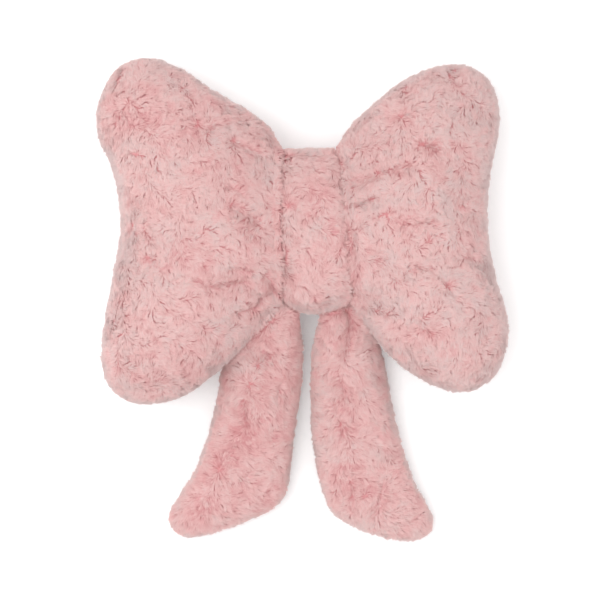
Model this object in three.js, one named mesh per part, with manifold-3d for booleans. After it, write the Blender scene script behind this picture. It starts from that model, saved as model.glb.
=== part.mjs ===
// Bow cushion of short-pile plush with two tails, lying on its back.
// Millimetres. +X is to the right of its face, +Y towards the top of the bow, +Z up out of the face.
// The origin is on the floor, under the middle of the whole cushion.
// Each filled piece is a patch between four edges, crowned to the front and to the back of its seam.

import * as THREE from 'three';
import Module from 'manifold-3d';

const wasm = await Module();
wasm.setup();

// Driving dimensions
const FIT_GAP = 0.3;
const CREASE_RADIUS = 9;
const EDGE_SAMPLES = 90;
const SMOOTHING_PASSES = 3;

const LOOP = {
  seamHeight: 56,
  frontCrown: 65,
  backDepth: 61,
  neckFrontCrown: 50,
  neckBackDepth: 43,
  neckLength: 95,
  middleY: 70,
  reachFromMiddle: 170,
  cornerFall: 0.26,
  shoulder: 80,
  roundness: 2.2,
  stepsOut: 24,
  stepsDown: 30,
};

const KNOT = {
  frontCrown: 51,
  backDepth: 45,
  shoulder: 72,
  roundness: 2.5,
  stepsOut: 10,
  stepsDown: 26,
};

const TAIL = {
  seamHeight: 21,
  frontCrown: 26,
  backDepth: 24,
  rootLift: 26,
  rootFrontCrown: 19,
  rootBackDepth: 17,
  liftStartsAtY: -82,
  liftEndsAtY: -6,
  shoulder: 42,
  roundness: 2.1,
  stepsOut: 28,
  stepsDown: 12,
};

// Low lumps of the filling under the face; a lump repeats over its spread times two pi
const FILL_LUMPS = [
  { spreadX: 31, spreadY: 37, shift: 0.6, height: 1.5 },
  { spreadX: 17, spreadY: 21, shift: 1.1, height: 0.8 },
];

// The knot's four corners on the seam
const KNOT_CORNER = {
  upperLeft: { x: -20.5, y: 151.8 },
  lowerLeft: { x: -17.5, y: 1 },
  upperRight: { x: 34.5, y: 151.8 },
  lowerRight: { x: 49.5, y: -1.5 },
};

// Seam of each piece, in four edges; a row is a point that the seam passes through.
// The near edge is at the knot. On a tail the far edge is its slanted end.
const LEFT_LOOP_EDGES = {
  near: [KNOT_CORNER.upperLeft, KNOT_CORNER.lowerLeft],
  upper: [
    KNOT_CORNER.upperLeft,
    { x: -25, y: 162.5 },
    { x: -32, y: 174 },
    { x: -50, y: 188.5 },
    { x: -85, y: 210 },
    { x: -121, y: 233.5 },
    { x: -152, y: 243.5 },
    { x: -180, y: 236.5 },
    { x: -195, y: 219 },
  ],
  far: [
    { x: -195, y: 219 },
    { x: -205, y: 191 },
    { x: -204, y: 163.5 },
    { x: -194, y: 138 },
    { x: -186, y: 107 },
    { x: -184, y: 66 },
    { x: -190, y: 30 },
    { x: -195, y: -5 },
    { x: -200, y: -41 },
    { x: -198, y: -73 },
    { x: -188, y: -91 },
  ],
  lower: [
    KNOT_CORNER.lowerLeft,
    { x: -40, y: -24 },
    { x: -62, y: -49 },
    { x: -80, y: -66 },
    { x: -108, y: -89 },
    { x: -134, y: -100.5 },
    { x: -154, y: -103 },
    { x: -173, y: -100 },
    { x: -188, y: -91 },
  ],
};

const RIGHT_LOOP_EDGES = {
  near: [KNOT_CORNER.upperRight, KNOT_CORNER.lowerRight],
  upper: [
    KNOT_CORNER.upperRight,
    { x: 40, y: 163.5 },
    { x: 48.5, y: 175 },
    { x: 74, y: 199 },
    { x: 104, y: 222 },
    { x: 138, y: 235 },
    { x: 160, y: 236.5 },
    { x: 178, y: 229 },
    { x: 189, y: 217 },
  ],
  far: [
    { x: 189, y: 217 },
    { x: 197, y: 192 },
    { x: 195, y: 160 },
    { x: 188, y: 126 },
    { x: 186, y: 90 },
    { x: 187.5, y: 54 },
    { x: 195, y: 18 },
    { x: 203, y: -9 },
    { x: 206, y: -32 },
    { x: 201, y: -58 },
    { x: 188, y: -80 },
  ],
  lower: [
    KNOT_CORNER.lowerRight,
    { x: 63, y: -21 },
    { x: 81, y: -47 },
    { x: 100, y: -65 },
    { x: 120, y: -79 },
    { x: 145, y: -89 },
    { x: 167, y: -90.5 },
    { x: 188, y: -80 },
  ],
};

const KNOT_EDGES = {
  near: [KNOT_CORNER.upperLeft, KNOT_CORNER.lowerLeft],
  upper: [KNOT_CORNER.upperLeft, KNOT_CORNER.upperRight],
  far: [KNOT_CORNER.upperRight, KNOT_CORNER.lowerRight],
  lower: [KNOT_CORNER.lowerLeft, { x: -4, y: -10 }, { x: 22, y: -11 }, KNOT_CORNER.lowerRight],
};

const LEFT_TAIL_EDGES = {
  near: [{ x: -34, y: 8 }, { x: -5, y: 3 }],
  upper: [
    { x: -34, y: 8 },
    { x: -44, y: -10 },
    { x: -60, y: -28 },
    { x: -74, y: -48 },
    { x: -82, y: -72 },
    { x: -88, y: -101 },
    { x: -97, y: -137.5 },
    { x: -109, y: -170 },
    { x: -123, y: -197.5 },
    { x: -133, y: -216 },
    { x: -132, y: -229 },
  ],
  far: [
    { x: -132, y: -229 },
    { x: -124, y: -238 },
    { x: -108, y: -240 },
    { x: -84, y: -234 },
    { x: -51, y: -222 },
    { x: -27, y: -210 },
    { x: -16, y: -198 },
  ],
  lower: [
    { x: -5, y: 3 },
    { x: -4, y: -12 },
    { x: 0, y: -32 },
    { x: 1.5, y: -62 },
    { x: 0, y: -90 },
    { x: -5, y: -125 },
    { x: -9, y: -155 },
    { x: -11, y: -180 },
    { x: -16, y: -198 },
  ],
};

const RIGHT_TAIL_EDGES = {
  near: [{ x: 49, y: 6 }, { x: 22, y: 0 }],
  upper: [
    { x: 49, y: 6 },
    { x: 58, y: -12 },
    { x: 72, y: -32 },
    { x: 82, y: -54 },
    { x: 88, y: -78 },
    { x: 92, y: -102 },
    { x: 100, y: -137 },
    { x: 108, y: -163 },
    { x: 116, y: -186 },
    { x: 127, y: -209 },
    { x: 131.5, y: -224 },
    { x: 129, y: -236 },
  ],
  far: [
    { x: 129, y: -236 },
    { x: 118, y: -243 },
    { x: 98, y: -243.5 },
    { x: 62, y: -233.5 },
    { x: 40, y: -223 },
    { x: 26, y: -210 },
  ],
  lower: [
    { x: 22, y: 0 },
    { x: 18.5, y: -16 },
    { x: 11, y: -41 },
    { x: 8.5, y: -66 },
    { x: 8, y: -100 },
    { x: 8.5, y: -130 },
    { x: 12, y: -158 },
    { x: 18, y: -187 },
    { x: 26, y: -210 },
  ],
};

// Gathers: soft troughs in both faces that run out from the knot, or down from a tail's root
const LEFT_LOOP_GATHERS = [
  { fromX: -19, fromY: 128, toX: -70, toY: 148, width: 9, depth: 6 },
  { fromX: -19, fromY: 92, toX: -58, toY: 106, width: 8, depth: 6 },
  { fromX: -19, fromY: 64, toX: -90, toY: 98, width: 10, depth: 9 },
  { fromX: -18, fromY: 28, toX: -100, toY: 12, width: 10, depth: 9 },
  { fromX: -18, fromY: 10, toX: -58, toY: -22, width: 8, depth: 7 },
];

const RIGHT_LOOP_GATHERS = [
  { fromX: 37, fromY: 132, toX: 70, toY: 156, width: 8, depth: 5 },
  { fromX: 39, fromY: 108, toX: 110, toY: 133, width: 10, depth: 9 },
  { fromX: 42, fromY: 88, toX: 84, toY: 101, width: 8, depth: 6 },
  { fromX: 44, fromY: 70, toX: 106, toY: 74, width: 10, depth: 8 },
  { fromX: 47, fromY: 38, toX: 100, toY: 24, width: 10, depth: 6 },
  { fromX: 49, fromY: 12, toX: 80, toY: -16, width: 8, depth: 6 },
];

const LEFT_TAIL_GATHERS = [
  { fromX: -22, fromY: 4, toX: -42, toY: -92, width: 9, depth: 5 },
];

const RIGHT_TAIL_GATHERS = [
  { fromX: 48, fromY: 0, toX: 42, toY: -110, width: 8, depth: 7 },
];

const PINK = {
  leftLoop: 0xdfb4b2,
  rightLoop: 0xdab0ae,
  knot: 0xe2b5b2,
  leftTail: 0xe2b0ad,
  rightTail: 0xe2b3b1,
};

function curveThrough(rows) {
  const points = rows.map((row) => new THREE.Vector3(row.x, row.y, 0));
  return new THREE.CatmullRomCurve3(points, false, 'centripetal');
}

function ease(value) {
  const share = THREE.MathUtils.clamp(value, 0, 1);
  return share * share * (3 - 2 * share);
}

// Steps that lie closer together towards both ends, where the surface turns fastest
function closerAtEnds(step, steps) {
  return (1 - Math.cos((Math.PI * step) / steps)) / 2;
}

// A point of the patch between four edges, at a share out from near to far and down from upper to lower
function patchPoint(curves, out, down) {
  const point = new THREE.Vector3();
  const add = (vector, weight) => point.addScaledVector(vector, weight);
  add(curves.upper.getPointAt(out), 1 - down);
  add(curves.lower.getPointAt(out), down);
  add(curves.near.getPointAt(down), 1 - out);
  add(curves.far.getPointAt(down), out);
  add(curves.upper.getPointAt(0), -(1 - out) * (1 - down));
  add(curves.upper.getPointAt(1), -out * (1 - down));
  add(curves.lower.getPointAt(0), -(1 - out) * down);
  add(curves.lower.getPointAt(1), -out * down);
  return point;
}

function distanceToLine(point, start, end) {
  const line = new THREE.Line3(start, end);
  return line.closestPointToPoint(point, true, new THREE.Vector3()).distanceTo(point);
}

function distanceToSeam(point, seam) {
  let nearest = Infinity;
  for (const polyline of seam) {
    for (let i = 1; i < polyline.length; i += 1) {
      nearest = Math.min(nearest, distanceToLine(point, polyline[i - 1], polyline[i]));
    }
  }
  return nearest;
}

// Rise of the filled cloth, from 0 at the seam to 1 at the shoulder and beyond
function crownShare(distance, shoulder, roundness) {
  const left = 1 - Math.min(distance / shoulder, 1);
  return (1 - left ** roundness) ** (1 / roundness);
}

// Lost height where the cloth turns down into the crease beside the knot
function creaseDrop(distance) {
  const inside = Math.max(0, CREASE_RADIUS - distance);
  return CREASE_RADIUS - Math.sqrt(CREASE_RADIUS ** 2 - inside ** 2);
}

function gatherDrop(point, gathers) {
  let drop = 0;
  for (const gather of gathers) {
    const start = new THREE.Vector3(gather.fromX, gather.fromY, 0);
    const end = new THREE.Vector3(gather.toX, gather.toY, 0);
    const line = new THREE.Line3(start, end);
    const share = line.closestPointToPointParameter(point, true);
    const away = line.at(share, new THREE.Vector3()).distanceTo(point) / gather.width;
    drop += gather.depth * Math.exp(-away * away) * (1 - share ** 2);
  }
  return drop;
}

function lumpRise(point) {
  let rise = 0;
  for (const lump of FILL_LUMPS) {
    const acrossX = Math.sin(point.x / lump.spreadX + lump.shift);
    rise += lump.height * acrossX * Math.cos(point.y / lump.spreadY + lump.shift);
  }
  return rise;
}

// Each inner share moves to the mean of its neighbours, as loose filling evens out
function smoothed(shares, stepsOut, stepsDown) {
  let current = shares;
  for (let pass = 0; pass < SMOOTHING_PASSES; pass += 1) {
    const previous = current;
    current = previous.map((row) => row.slice());
    for (let i = 2; i < stepsOut - 1; i += 1) {
      for (let j = 2; j < stepsDown - 1; j += 1) {
        const sides = previous[i - 1][j] + previous[i + 1][j] + previous[i][j - 1] + previous[i][j + 1];
        current[i][j] = (previous[i][j] + sides) / 5;
      }
    }
  }
  return current;
}

function facingOut(positions, indices) {
  const corner = (index) => new THREE.Vector3().fromArray(positions, 3 * index);
  let volume = 0;
  for (let i = 0; i < indices.length; i += 3) {
    const [a, b, c] = [corner(indices[i]), corner(indices[i + 1]), corner(indices[i + 2])];
    volume += a.dot(b.cross(c));
  }
  return volume > 0 ? indices : indices.slice().reverse();
}

// A filled piece: sewn edges close to nothing at the seam, the others end in a flat wall
function filledPiece({ edges, walls, sizes, gathers, shape }) {
  const { stepsOut, stepsDown } = sizes;
  const curves = Object.fromEntries(
    Object.entries(edges).map(([name, rows]) => [name, curveThrough(rows)]),
  );
  const sewn = Object.keys(curves).filter((name) => !walls.includes(name));
  const seam = sewn.map((name) => curves[name].getSpacedPoints(EDGE_SAMPLES));
  const onSeam = (i, j) => (
    j === 0 || j === stepsDown
    || (i === 0 && !walls.includes('near')) || (i === stepsOut && !walls.includes('far'))
  );

  const plan = [];
  const shares = [];
  for (let i = 0; i <= stepsOut; i += 1) {
    plan.push([]);
    shares.push([]);
    for (let j = 0; j <= stepsDown; j += 1) {
      const point = patchPoint(curves, closerAtEnds(i, stepsOut), closerAtEnds(j, stepsDown));
      const distance = onSeam(i, j) ? 0 : distanceToSeam(point, seam);
      plan[i].push(point);
      shares[i].push(crownShare(distance, sizes.shoulder, sizes.roundness));
    }
  }

  const evened = smoothed(shares, stepsOut, stepsDown);
  const positions = [];
  const frontIndex = [];
  const backIndex = [];
  for (let i = 0; i <= stepsOut; i += 1) {
    frontIndex.push([]);
    backIndex.push([]);
    for (let j = 0; j <= stepsDown; j += 1) {
      const { x, y } = plan[i][j];
      const form = shape(plan[i][j]);
      const gathered = gatherDrop(plan[i][j], gathers);
      const frontRise = evened[i][j] * (form.front + lumpRise(plan[i][j]) - gathered);
      const backFall = evened[i][j] * (form.back - gathered);
      frontIndex[i].push(positions.length / 3);
      positions.push(x, y, form.seamHeight + frontRise);
      if (onSeam(i, j)) {
        backIndex[i].push(frontIndex[i][j]);
      } else {
        backIndex[i].push(positions.length / 3);
        positions.push(x, y, Math.max(0, form.seamHeight - backFall));
      }
    }
  }

  const indices = [];
  const addTriangle = (a, b, c) => {
    if (a !== b && b !== c && c !== a) indices.push(a, b, c);
  };
  const addQuad = (a, b, c, d) => {
    addTriangle(a, b, c);
    addTriangle(a, c, d);
  };
  for (let i = 0; i < stepsOut; i += 1) {
    for (let j = 0; j < stepsDown; j += 1) {
      const [f, b] = [frontIndex, backIndex];
      addQuad(f[i][j], f[i][j + 1], f[i + 1][j + 1], f[i + 1][j]);
      addQuad(b[i][j], b[i + 1][j], b[i + 1][j + 1], b[i][j + 1]);
    }
  }
  for (let j = 0; j < stepsDown; j += 1) {
    if (walls.includes('near')) {
      const [f, b] = [frontIndex[0], backIndex[0]];
      addQuad(f[j], b[j], b[j + 1], f[j + 1]);
    }
    if (walls.includes('far')) {
      const [f, b] = [frontIndex[stepsOut], backIndex[stepsOut]];
      addQuad(f[j], f[j + 1], b[j + 1], b[j]);
    }
  }
  return indexedGeometry(positions, facingOut(positions, indices));
}

function indexedGeometry(positions, indices) {
  const geometry = new THREE.BufferGeometry();
  geometry.setAttribute('position', new THREE.BufferAttribute(Float32Array.from(positions), 3));
  geometry.setIndex(new THREE.BufferAttribute(Uint32Array.from(indices), 1));
  geometry.computeVertexNormals();
  return geometry;
}

// The same closed shape, with its surface moved outwards by a distance
function grown(geometry, distance) {
  const { position, normal } = geometry.attributes;
  const positions = [];
  for (let i = 0; i < position.count; i += 1) {
    const point = new THREE.Vector3().fromBufferAttribute(position, i);
    const direction = new THREE.Vector3().fromBufferAttribute(normal, i);
    positions.push(...point.addScaledVector(direction, distance).toArray());
  }
  return indexedGeometry(positions, geometry.index.array);
}

function solidOf(geometry) {
  const vertProperties = geometry.attributes.position.array;
  const triVerts = geometry.index.array;
  return new wasm.Manifold(new wasm.Mesh({ numProp: 3, vertProperties, triVerts }));
}

// The piece, pressed back to a small gap where it would meet its neighbours
function seatedAgainst(geometry, neighbours) {
  let solid = solidOf(geometry);
  for (const neighbour of neighbours) {
    solid = solid.subtract(solidOf(grown(neighbour, FIT_GAP)));
  }
  const cut = solid.getMesh();
  return indexedGeometry(cut.vertProperties, cut.triVerts);
}

// Distance from the straight line of the knot's side
function fromKnotSide(point, upperCorner, lowerCorner) {
  const start = new THREE.Vector3(upperCorner.x, upperCorner.y, 0);
  const along = new THREE.Vector3(lowerCorner.x, lowerCorner.y, 0).sub(start).normalize();
  return Math.abs(along.cross(point.clone().sub(start)).z);
}

function shiftedBy(edges, distance) {
  const moved = (rows) => rows.map((row) => ({ x: row.x + distance, y: row.y }));
  return Object.fromEntries(Object.entries(edges).map(([name, rows]) => [name, moved(rows)]));
}

function loopGeometry(edges, gathers, outward) {
  const [upperCorner, lowerCorner] = edges.near;
  const shape = (point) => {
    const away = fromKnotSide(point, upperCorner, lowerCorner);
    const opened = ease(away / LOOP.neckLength);
    const drop = creaseDrop(away);
    const fullness = 1 - LOOP.cornerFall * ((point.y - LOOP.middleY) / LOOP.reachFromMiddle) ** 2;
    return {
      seamHeight: LOOP.seamHeight,
      front: fullness * THREE.MathUtils.lerp(LOOP.neckFrontCrown, LOOP.frontCrown, opened) - drop,
      back: fullness * THREE.MathUtils.lerp(LOOP.neckBackDepth, LOOP.backDepth, opened) - drop,
    };
  };
  return filledPiece({
    edges: shiftedBy(edges, outward * FIT_GAP), walls: ['near'], sizes: LOOP, gathers, shape,
  });
}

function knotGeometry() {
  const shape = (point) => {
    const fromLeft = fromKnotSide(point, KNOT_CORNER.upperLeft, KNOT_CORNER.lowerLeft);
    const fromRight = fromKnotSide(point, KNOT_CORNER.upperRight, KNOT_CORNER.lowerRight);
    const drop = creaseDrop(Math.min(fromLeft, fromRight));
    return {
      seamHeight: LOOP.seamHeight,
      front: KNOT.frontCrown - drop,
      back: KNOT.backDepth - drop,
    };
  };
  return filledPiece({ edges: KNOT_EDGES, walls: ['near', 'far'], sizes: KNOT, gathers: [], shape });
}

function tailGeometry(edges, gathers, neighbours) {
  const shape = (point) => {
    const lift = ease((point.y - TAIL.liftStartsAtY) / (TAIL.liftEndsAtY - TAIL.liftStartsAtY));
    return {
      seamHeight: TAIL.seamHeight + TAIL.rootLift * lift,
      front: THREE.MathUtils.lerp(TAIL.frontCrown, TAIL.rootFrontCrown, lift),
      back: THREE.MathUtils.lerp(TAIL.backDepth, TAIL.rootBackDepth, lift),
    };
  };
  const whole = filledPiece({ edges, walls: [], sizes: TAIL, gathers, shape });
  return seatedAgainst(whole, neighbours);
}

function plushMesh(name, geometry, color) {
  const material = new THREE.MeshStandardMaterial({ color, roughness: 0.95, metalness: 0 });
  const mesh = new THREE.Mesh(geometry, material);
  mesh.name = name;
  return mesh;
}

const knot = knotGeometry();
const leftLoop = loopGeometry(LEFT_LOOP_EDGES, LEFT_LOOP_GATHERS, -1);
const rightLoop = loopGeometry(RIGHT_LOOP_EDGES, RIGHT_LOOP_GATHERS, 1);
const leftTail = tailGeometry(LEFT_TAIL_EDGES, LEFT_TAIL_GATHERS, [knot, leftLoop]);
const rightTail = tailGeometry(RIGHT_TAIL_EDGES, RIGHT_TAIL_GATHERS, [knot, rightLoop]);

const bow = new THREE.Group();
bow.add(plushMesh('loop_left', leftLoop, PINK.leftLoop));
bow.add(plushMesh('loop_right', rightLoop, PINK.rightLoop));
bow.add(plushMesh('knot', knot, PINK.knot));
bow.add(plushMesh('tail_left', leftTail, PINK.leftTail));
bow.add(plushMesh('tail_right', rightTail, PINK.rightTail));

const box = new THREE.Box3().setFromObject(bow);
bow.position.set(-(box.min.x + box.max.x) / 2, -(box.min.y + box.max.y) / 2, -box.min.z);

export default bow;
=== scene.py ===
"""Bow cushion of pale pink rabbit-look plush, lying on its back and seen from straight above.

Each filled piece is a cloth backing, swollen from its solid by a cloth simulation, and a pile of
bent blades that Geometry Nodes grow on it. The pile lies in swirls and patches, parts along the
folds and is combed down the slopes.
"""

from itertools import count

import bpy
import numpy as np
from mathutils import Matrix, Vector, noise
from mathutils.bvhtree import BVHTree


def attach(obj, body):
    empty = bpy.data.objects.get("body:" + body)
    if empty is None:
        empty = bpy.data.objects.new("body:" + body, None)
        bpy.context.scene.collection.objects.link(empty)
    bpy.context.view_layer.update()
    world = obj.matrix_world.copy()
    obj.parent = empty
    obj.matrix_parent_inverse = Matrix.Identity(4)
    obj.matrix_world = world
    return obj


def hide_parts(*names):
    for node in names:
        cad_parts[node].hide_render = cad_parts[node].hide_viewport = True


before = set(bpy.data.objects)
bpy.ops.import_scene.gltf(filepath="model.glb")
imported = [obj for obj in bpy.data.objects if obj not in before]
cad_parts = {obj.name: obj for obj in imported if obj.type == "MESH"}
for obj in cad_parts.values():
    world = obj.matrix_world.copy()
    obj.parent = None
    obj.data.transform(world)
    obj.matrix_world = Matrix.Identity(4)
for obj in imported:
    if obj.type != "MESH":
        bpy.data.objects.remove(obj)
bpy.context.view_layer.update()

MM = 0.001
# Added to a length before something is divided by it
SPECK = 1e-9

# The cloth under the pile: how it is drawn in from its solid, remeshed, swollen and smoothed
SEWN_INSET = 0.3 * MM
CLEAR_OF_NEIGHBOUR = 7 * MM
WELD_GAP = 0.01 * MM
VOXEL = 5.2 * MM
SMOOTHING = 0.5
SMOOTHINGS_ONCE_REMESHED = 2
SMOOTHINGS_ONCE_SWOLLEN = 1
SWELL_FRAMES = 20
SWELL_PRESSURE = 4.0
CLOTH_MASS = 0.3
CLOTH_QUALITY = 5
LOWEST_CLOTH = 3.0 * MM
# Lumps of filling: height and size
LUMPS = ((0.3 * MM, 8 * MM), (0.6 * MM, 20 * MM))
# Share of the cloth's triangles kept once the pile has grown on it
CLOTH_KEPT = 0.22

# The rise of the skin's normal where each kind of skin begins, and where it is fully reached
UPPER_SKIN = (-0.1, 0.4)
OUTER_SKIN = (-0.5, 0.0)
STEEP_SKIN = (0.8, 0.0)

# For each piece: how full it is, how far the simulation may move a point of it, how deep its pile
# stands, how far it fills the crease beside a neighbour, how strongly its pile is combed down its
# slopes, how ruffled the pile is, and how much greyer it is than the left loop. On the right loop
# that greyness is painted shade, as it lies further from the lamp on the left
FILLED = {
    "loop_left": {
        "fill": 0.75, "swell_cap": 3.5 * MM, "pile_depth": 2.0 * MM, "crease_fill": 6.0 * MM,
        "sweep": 0.35, "ruffle": 1.0, "grey_and_shade": 0.0,
    },
    # The right loop's greyness is painted shade, as it lies further from the lamp
    "loop_right": {
        "fill": 0.75, "swell_cap": 3.5 * MM, "pile_depth": 2.0 * MM, "crease_fill": 6.0 * MM,
        "sweep": 0.35, "ruffle": 1.0, "grey_and_shade": 0.08,
    },
    "knot": {
        "fill": 0.7, "swell_cap": 2.0 * MM, "pile_depth": 1.9 * MM, "crease_fill": 3.0 * MM,
        "sweep": 0.15, "ruffle": 0.9, "grey_and_shade": -0.02,
    },
    "tail_left": {
        "fill": 0.6, "swell_cap": 2.0 * MM, "pile_depth": 1.4 * MM, "crease_fill": 4.0 * MM,
        "sweep": 1.0, "ruffle": 0.65, "grey_and_shade": -0.1,
    },
    "tail_right": {
        "fill": 0.6, "swell_cap": 2.0 * MM, "pile_depth": 1.4 * MM, "crease_fill": 4.0 * MM,
        "sweep": 1.0, "ruffle": 0.65, "grey_and_shade": -0.04,
    },
}

# The crease beside a neighbour: how far its filling and its inner wall reach, and how the pile parts
# and ruffles in it; the parting there also deepens the pink as painted shade
CREASE_FILL_REACH = 11 * MM
INNER_WALL = 26 * MM
CREASE_PARTED = 0.6
CREASE_RUFFLE = 0.8
CREASE_RUFFLE_SIZE = 14 * MM
# The pile covers the crease least beside the top of the knot, and more and more from COVER_STARTS
# down, over a length of COVER_RUN
COVER_LEAST = 0.3
COVER_GAIN = 0.6
COVER_STARTS = 95 * MM
COVER_RUN = 60 * MM
# What the cover adds to the filling and to the blades' reach
COVERED_FILL = 0.5
COVERED_REACH = 0.5
# How far the shading faces up in an open crease, what the cover adds, and the same on an inner wall
CREASE_SOFT = 0.8
CREASE_SOFT_GAIN = 0.2
INNER_WALL_SOFT = 0.7

# How the pile droops on the slopes, and how much shorter it is in partings
EDGE_DROOP = 0.5
PARTED_SHORTER = 0.25

# What a fold and a parted spot do: how wide their line is, as a share of the width or radius that the
# lists below give, how strongly the pile is combed away, how far it parts, and how far the cloth is
# pressed in
FOLD_LOOK = {"line": 0.7, "comb": 0.9, "parted": 0.8, "pressed": 1.0}
SPOT_LOOK = {"line": 1.0, "comb": 0.1, "parted": 0.55, "pressed": 0.4}
FOLD_POINTS = 9
FOLD_DEPTH = 3.6 * MM
MOST_PRESSED = 1.2
# How strongly the pile is combed from a wide parting, and how ragged the parting is
PARTING_COMB = 0.4
PARTING_RAGGED = 0.9
PARTING_RAGGED_SIZE = 12 * MM

# The coats of the pile: blades per square metre, the sizes of a blade, how hard its lock draws it,
# and the side of the cloth it grows on
COATS = {
    "topcoat": {"density": 0.92e6, "length": 8.2 * MM, "width": 0.62 * MM, "pull": 0.24, "side": 1.0},
    "undercoat": {"density": 0.62e6, "length": 7.5 * MM, "width": 0.95 * MM, "pull": 0.1, "side": 1.0},
    "backcoat": {"density": 0.55e6, "length": 9.0 * MM, "width": 1.1 * MM, "pull": 0.3, "side": -1.0},
}
# The face's coats and the back's meet where the cloth's normal sinks this far
SIDES_MEET = 0.25
# Where the neighbour is nearer than this the pieces are sewn together, and no pile grows
SEWN_GAP = 0.6 * MM

# The way the pile lies: slow swirls that turn from the way up the bow, and fine ripples
UP_THE_BOW = (0.0, 1.0, 0.0)
SWIRL_SIZE = 34 * MM
SWIRL_TURN = 8.0
SWIRL_SHARE = 0.5
SWIRL_LESS_AT_EDGE = 0.42
RIPPLE_SIZE = 6.5 * MM
RIPPLE_TURN = 4.0
# Patches of pile that lie one way, large and small: their size, how far they turn from each other,
# the width of the line where one lies over the next, which is darkened as painted shade, the size of
# the areas with such lines, and their strength
PATCHES = (
    {"size": 18 * MM, "turn": 2.0, "line": 1.0 * MM, "area": 24 * MM, "strength": 1.0},
    {"size": 8.5 * MM, "turn": 1.3, "line": 0.8 * MM, "area": 15 * MM, "strength": 0.75},
)
# How far their borders wander, as a share of their size, and how much less they turn at the edges
PATCH_WANDER = 0.65
PATCH_LESS_AT_EDGE = 0.5
# The noise from which an area has such lines, and how fast they set in
LINES_FROM = 0.45
LINES_STEEP = 7.0

# The locks that blades gather in
LOCK_SPACING = 3.6 * MM
MOST_LOCKS = 1e5
LOCK_FORWARD = 0.9
LOCK_RISE = 0.35
PULL_MORE_AT_EDGE = 0.8

# Each blade: its share of the coat's length, how far it rises and lies forward, and where its knee
# and its widest place are
BLADE_REACH = (0.72, 1.1)
BLADE_RISE = (0.08, 0.34)
BLADE_FORWARD = 0.95
FORWARD_LESS_IN_PARTING = 0.35
KNEE_RISE = 0.4
KNEE_FORWARD = 0.24
WIDEST_AT = 0.42
# The share of its length where a blade crosses a line between patches, and how much shorter it is then
SEEN_AT = 0.7
OVERLAP_SHORTER = 0.35
# How far blades go astray, and the tufts that stand up near the edges
STRAY_SIZE = 2.6 * MM
STRAY_BY_RUFFLE = 1.25
STRAY_IN_PARTING = 2.4
TUFT_SIZE = 6 * MM
TUFT_FROM = 0.42
TUFT_RISE = 1.8

# What a blade's tone is made of: broad areas, mottling, its lock, itself, painted shade on the lines where
# patches overlap, painted rim shade, the piece's greyness (painted shade on the right loop), painted shade
# in open creases, and the tangle in partings
TONE_DETAIL = 2.0
BROAD_SIZE = 40 * MM
BROAD_TONE = 0.85
MOTTLE_SIZE = 10 * MM
MOTTLE_TONE = 0.8
LOCK_TONE = 0.06
BLADE_TONE = (0.44, 0.68)
OVERLAP_SHADE_TONE = 0.25
RIM_SHADE_TONE = 0.55
CREASE_SHADE_TONE = 0.3
TANGLE_SIZE = 3 * MM
TANGLE_FROM = 0.62
TANGLE_TONE = 2.6
# The highest tone, and how far the painted rim shade may go above it
HIGHEST_TONE = 0.8
HIGHEST_TONE_GAIN_AT_EDGE = 0.12

# Fixed seeds of all that is random
SEEDS = {
    "first coat": 21, "locks": 7, "lock tone": 3, "blade rise": 11, "blade reach": 12, "blade tone": 13,
}

# The finished blades: how near the floor they lie, and whose normals they are shaded by
FLAT_BELOW = 2 * MM
FLOOR_CLEARANCE = 0.4 * MM
OWN_NORMAL = 0.42
SKIN_NORMAL = 0.58
CREASE_LIFT = 2.8
# Where a blade lies on the palette map
PALETTE_MARGIN = 0.03
PALETTE_SPAN = 0.94
BLADE_ON_PALETTE = 0.004

# The numbers that a coat is given, and the notes on its points that go once it is finished
COAT_NUMBERS = (
    "Blades per m2", "Blade length", "Blade width", "Lock spacing", "Lock pull",
    "Side", "Ruffle", "Greyness",
)
BLADE_NOTES = ("root", "knee", "tip", "across", "skin", "aside")
CLOTH_NOTES = ("comb", "parted", "edge", "greyed", "crease", "seam", "reach", "grows")

# Colours by tone, from the deep pink of a parting, which also serves as painted shade in creases and
# overlap lines, to the greyer, darker pink of the painted rim shade, at the roots and at the tips. How
# early a blade turns pale, and how much smoother its tip is
ROOT_PINKS = (
    (0.0, (0.66, 0.26, 0.27)),
    (0.5, (0.74, 0.38, 0.38)),
    (1.0, (0.665, 0.45, 0.44)),
)
TIP_PINKS = (
    (0.0, (0.73, 0.38, 0.38)),
    (0.4, (0.82, 0.555, 0.535)),
    (0.7, (0.815, 0.615, 0.59)),
    (1.0, (0.63, 0.54, 0.53)),
)
PALE_EARLY = 0.8
ROOT_ROUGHNESS = 0.96
TIP_SMOOTHER = 0.14
PILE_SPECULAR = 0.15
PILE_SHEEN = 0.2
PILE_SHEEN_ROUGHNESS = 0.4

# The knitted backing
BACKING_PINKS = ((0.3, (0.66, 0.26, 0.27)), (0.7, (0.76, 0.38, 0.38)))
KNIT_SIZE = 2 * MM
KNIT_DETAIL = 4.0
KNIT_STRENGTH = 0.6
KNIT_DEPTH = 1 * MM
BACKING_ROUGHNESS = 0.95

# The studio, in metres
WHITE = (1, 1, 1, 1)
FLOOR_HALF = 3.0
FLOOR_WHITE = (0.96, 0.96, 0.96, 1)
FLOOR_ROUGHNESS = 0.9
FLOOR_GLOW = 0.2
SURROUND_STRENGTH = 0.975
LAMP_PLACE = (-0.7, 0.0, 2.2)
LAMP_SIZE = 1.2
LAMP_POWER = 17.0
EYE_PLACE = (0.5 * MM, -1.0 * MM, 2.4)
SEAM_HEIGHT = 56 * MM
VIEW_WIDTH = 605 * MM
SENSOR_WIDTH = 36.0

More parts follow.
